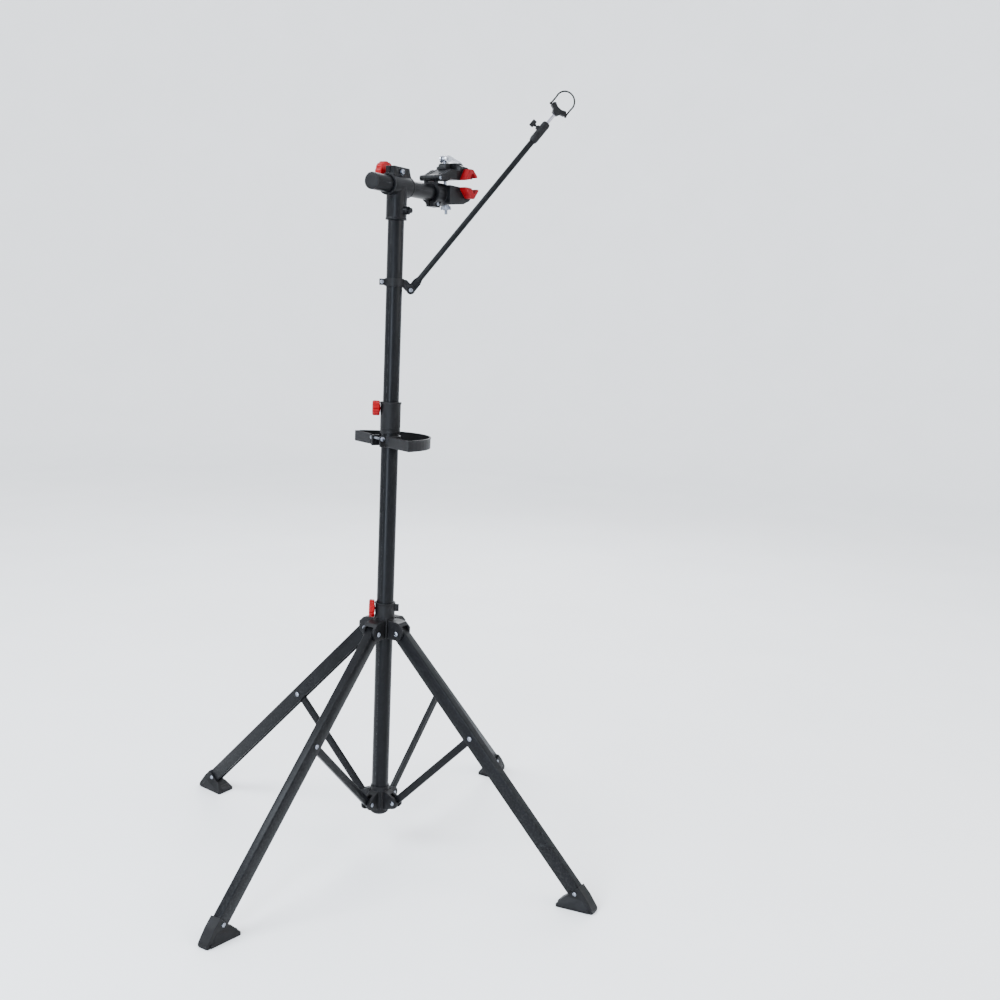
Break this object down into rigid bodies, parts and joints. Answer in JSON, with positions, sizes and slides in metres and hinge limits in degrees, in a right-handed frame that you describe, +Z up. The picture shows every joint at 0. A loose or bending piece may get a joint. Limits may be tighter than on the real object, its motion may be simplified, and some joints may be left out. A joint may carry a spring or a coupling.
{
  "type": "bicycle repair stand",
  "caption": "Folding bicycle repair stand: crossed legs with struts, telescopic mast with a tool tray, tube clamp with a cam lever, and a handlebar arm.",
  "frame": {"origin": "on the floor, under the post's axis, midway between the four feet", "axes": "+Z up the post, +X along the cross tube towards the tube clamp, +Y to the left of the clamp"},
  "size_m": [1.0822, 1.0822, 1.6489],
  "materials": {
    "black_paint": "semi-gloss black paint",
    "head_paint": "satin black paint on castings",
    "black_plastic": "moulded black plastic",
    "red_plastic": "glossy red plastic",
    "red_rubber": "mottled red rubber",
    "black_rubber": "matt black rubber cord",
    "zinc": "bright zinc plate",
    "chrome": "polished chrome",
    "steel_rod": "plain ground steel"
  },
  "bodies": {
    "stand_post": {"lower_post": "black_paint", "base_hub": "black_plastic", "post_collar": "black_plastic", "base_pin_front": "zinc", "base_pin_left": "zinc", "base_pin_back": "zinc", "base_pin_right": "zinc"},
    "upper_hub": {"upper_hub": "black_plastic", "hub_pin_front": "zinc", "hub_pin_left": "zinc", "hub_pin_back": "zinc", "hub_pin_right": "zinc"},
    "hub_knob": {"hub_knob": "red_plastic"},
    "collar_knob": {"collar_knob": "red_plastic"},
    "tray": {"tray": "black_plastic", "tray_bolt": "zinc"},
    "mast": {"mast": "black_paint", "head_tee": "head_paint", "tee_bolt": "zinc", "tee_screw": "black_paint"},
    "tee_knob": {"tee_knob": "red_plastic"},
    "head_tube": {"head_tube": "black_paint", "head_tube_cap": "black_plastic"},
    "clamp": {"lower_jaw": "head_paint", "lower_pad": "red_rubber", "jaw_pin": "zinc", "collar_bolt": "zinc"},
    "upper_jaw": {"upper_jaw": "head_paint", "upper_pad": "red_rubber", "cam_saddle": "black_plastic"},
    "clamp_bolt": {"clamp_bolt": "zinc", "lever_pin": "zinc"},
    "cam_lever": {"cam_lever": "chrome"},
    "tension_nut": {"tension_nut": "zinc"},
    "arm_band": {"arm_band": "black_plastic", "band_bolt": "zinc", "arm_pivot_bolt": "zinc"},
    "arm_tube": {"arm_tube": "black_paint", "arm_collar": "black_plastic"},
    "arm_screw": {"arm_screw": "black_plastic"},
    "arm_rod": {"arm_rod": "steel_rod"},
    "cradle": {"cradle": "black_plastic", "cradle_strap": "black_rubber"},
    "strut_front": {"strut_front": "black_paint"},
    "leg_front": {"leg_front": "black_paint", "foot_front": "black_plastic", "elbow_pin_front": "zinc"},
    "strut_left": {"strut_left": "black_paint"},
    "leg_left": {"leg_left": "black_paint", "foot_left": "black_plastic", "elbow_pin_left": "zinc"},
    "strut_back": {"strut_back": "black_paint"},
    "leg_back": {"leg_back": "black_paint", "foot_back": "black_plastic", "elbow_pin_back": "zinc"},
    "strut_right": {"strut_right": "black_paint"},
    "leg_right": {"leg_right": "black_paint", "foot_right": "black_plastic", "elbow_pin_right": "zinc"}
  },
  "joints": [
    {"name": "leg_fold", "type": "hinge", "parent": "stand_post", "child": "strut_front", "pos_m": [0.042, 0, 0.105], "axis": [0, -1, 0], "range_deg": [0, 39.5]},
    {"name": "strut_left_swing", "type": "hinge", "parent": "stand_post", "child": "strut_left", "pos_m": [0, 0.042, 0.105], "axis": [1, 0, 0], "range_deg": [0, 39.5]},
    {"name": "strut_back_swing", "type": "hinge", "parent": "stand_post", "child": "strut_back", "pos_m": [-0.042, 0, 0.105], "axis": [0, 1, 0], "range_deg": [0, 39.5]},
    {"name": "strut_right_swing", "type": "hinge", "parent": "stand_post", "child": "strut_right", "pos_m": [0, -0.042, 0.105], "axis": [-1, 0, 0], "range_deg": [0, 39.5]},
    {"name": "leg_front_swing", "type": "hinge", "parent": "strut_front", "child": "leg_front", "pos_m": [0.23464, 0, 0.299], "axis": [0, -1, 0], "range_deg": [-79, 0]},
    {"name": "leg_left_swing", "type": "hinge", "parent": "strut_left", "child": "leg_left", "pos_m": [0, 0.23464, 0.299], "axis": [1, 0, 0], "range_deg": [-79, 0]},
    {"name": "leg_back_swing", "type": "hinge", "parent": "strut_back", "child": "leg_back", "pos_m": [-0.23464, 0, 0.299], "axis": [0, 1, 0], "range_deg": [-79, 0]},
    {"name": "leg_right_swing", "type": "hinge", "parent": "strut_right", "child": "leg_right", "pos_m": [0, -0.23464, 0.299], "axis": [-1, 0, 0], "range_deg": [-79, 0]},
    {"name": "hub_rise", "type": "hinge", "parent": "leg_front", "child": "upper_hub", "pos_m": [0.042, 0, 0.493], "axis": [0, -1, 0], "range_deg": [0, 39.5]},
    {"name": "hub_knob_turn", "type": "hinge", "parent": "upper_hub", "child": "hub_knob", "pos_m": [-0.02057, 0.02832, 0.5405], "axis": [-0.5878, 0.809, 0], "continuous": true},
    {"name": "collar_knob_turn", "type": "hinge", "parent": "stand_post", "child": "collar_knob", "pos_m": [-0.02057, 0.02832, 0.976], "axis": [-0.5878, 0.809, 0], "continuous": true},
    {"name": "tray_swivel", "type": "hinge", "parent": "stand_post", "child": "tray", "pos_m": [0, 0, 0.907], "axis": [0, 0, 1], "continuous": true},
    {"name": "mast_height", "type": "slide", "parent": "stand_post", "child": "mast", "axis": [0, 0, 1], "range_m": [-0.22, 0.1]},
    {"name": "tee_knob_turn", "type": "hinge", "parent": "mast", "child": "tee_knob", "pos_m": [0, 0.03, 1.461], "axis": [0, 1, 0], "continuous": true},
    {"name": "head_slide", "type": "slide", "parent": "mast", "child": "head_tube", "axis": [1, 0, 0], "range_m": [-0.075, 0.045]},
    {"name": "clamp_turn", "type": "hinge", "parent": "head_tube", "child": "clamp", "pos_m": [0.14, 0, 1.434], "axis": [1, 0, 0], "continuous": true},
    {"name": "jaw_open", "type": "hinge", "parent": "clamp", "child": "upper_jaw", "pos_m": [0.12, 0, 1.4645], "axis": [0, -1, 0], "range_deg": [-4, 11]},
    {"name": "clamp_bolt_swing", "type": "hinge", "parent": "upper_jaw", "child": "clamp_bolt", "pos_m": [0.172, 0, 1.5105], "axis": [0, -1, 0], "range_deg": [-6.1, 2.3]},
    {"name": "cam_lever_flip", "type": "hinge", "parent": "clamp_bolt", "child": "cam_lever", "pos_m": [0.172, 0, 1.5105], "axis": [0, -1, 0], "range_deg": [0, 170]},
    {"name": "tension_nut_turn", "type": "hinge", "parent": "clamp", "child": "tension_nut", "pos_m": [0.18302, 0, 1.41381], "axis": [0.1132, 0, -0.9936], "continuous": true},
    {"name": "arm_swivel", "type": "hinge", "parent": "mast", "child": "arm_band", "pos_m": [0, 0, 1.2385], "axis": [0, 0, 1], "range_deg": [-270, 15]},
    {"name": "arm_tilt", "type": "hinge", "parent": "arm_band", "child": "arm_tube", "pos_m": [0.02249, -0.0255, 1.224], "axis": [0.7501, 0.6613, 0], "range_deg": [-30, 90]},
    {"name": "arm_screw_turn", "type": "hinge", "parent": "arm_tube", "child": "arm_screw", "pos_m": [0.18592, -0.21088, 1.57646], "axis": [-0.5232, 0.5935, 0.6115], "continuous": true},
    {"name": "arm_extend", "type": "slide", "parent": "arm_tube", "child": "arm_rod", "axis": [0.4044, -0.4587, 0.7912], "range_m": [-0.022, 0.16]},
    {"name": "cradle_turn", "type": "hinge", "parent": "arm_rod", "child": "cradle", "pos_m": [0.21579, -0.24477, 1.60221], "axis": [0.4044, -0.4587, 0.7912], "continuous": true}
  ],
  "couplings": [
    {"joint": "strut_left_swing", "follows": "leg_fold", "ratio": 1},
    {"joint": "strut_back_swing", "follows": "leg_fold", "ratio": 1},
    {"joint": "strut_right_swing", "follows": "leg_fold", "ratio": 1},
    {"joint": "leg_front_swing", "follows": "leg_fold", "ratio": -2},
    {"joint": "leg_left_swing", "follows": "leg_fold", "ratio": -2},
    {"joint": "leg_back_swing", "follows": "leg_fold", "ratio": -2},
    {"joint": "leg_right_swing", "follows": "leg_fold", "ratio": -2},
    {"joint": "hub_rise", "follows": "leg_fold", "ratio": 1},
    {"joint": "clamp_bolt_swing", "follows": "jaw_open", "ratio": -0.55}
  ]
}
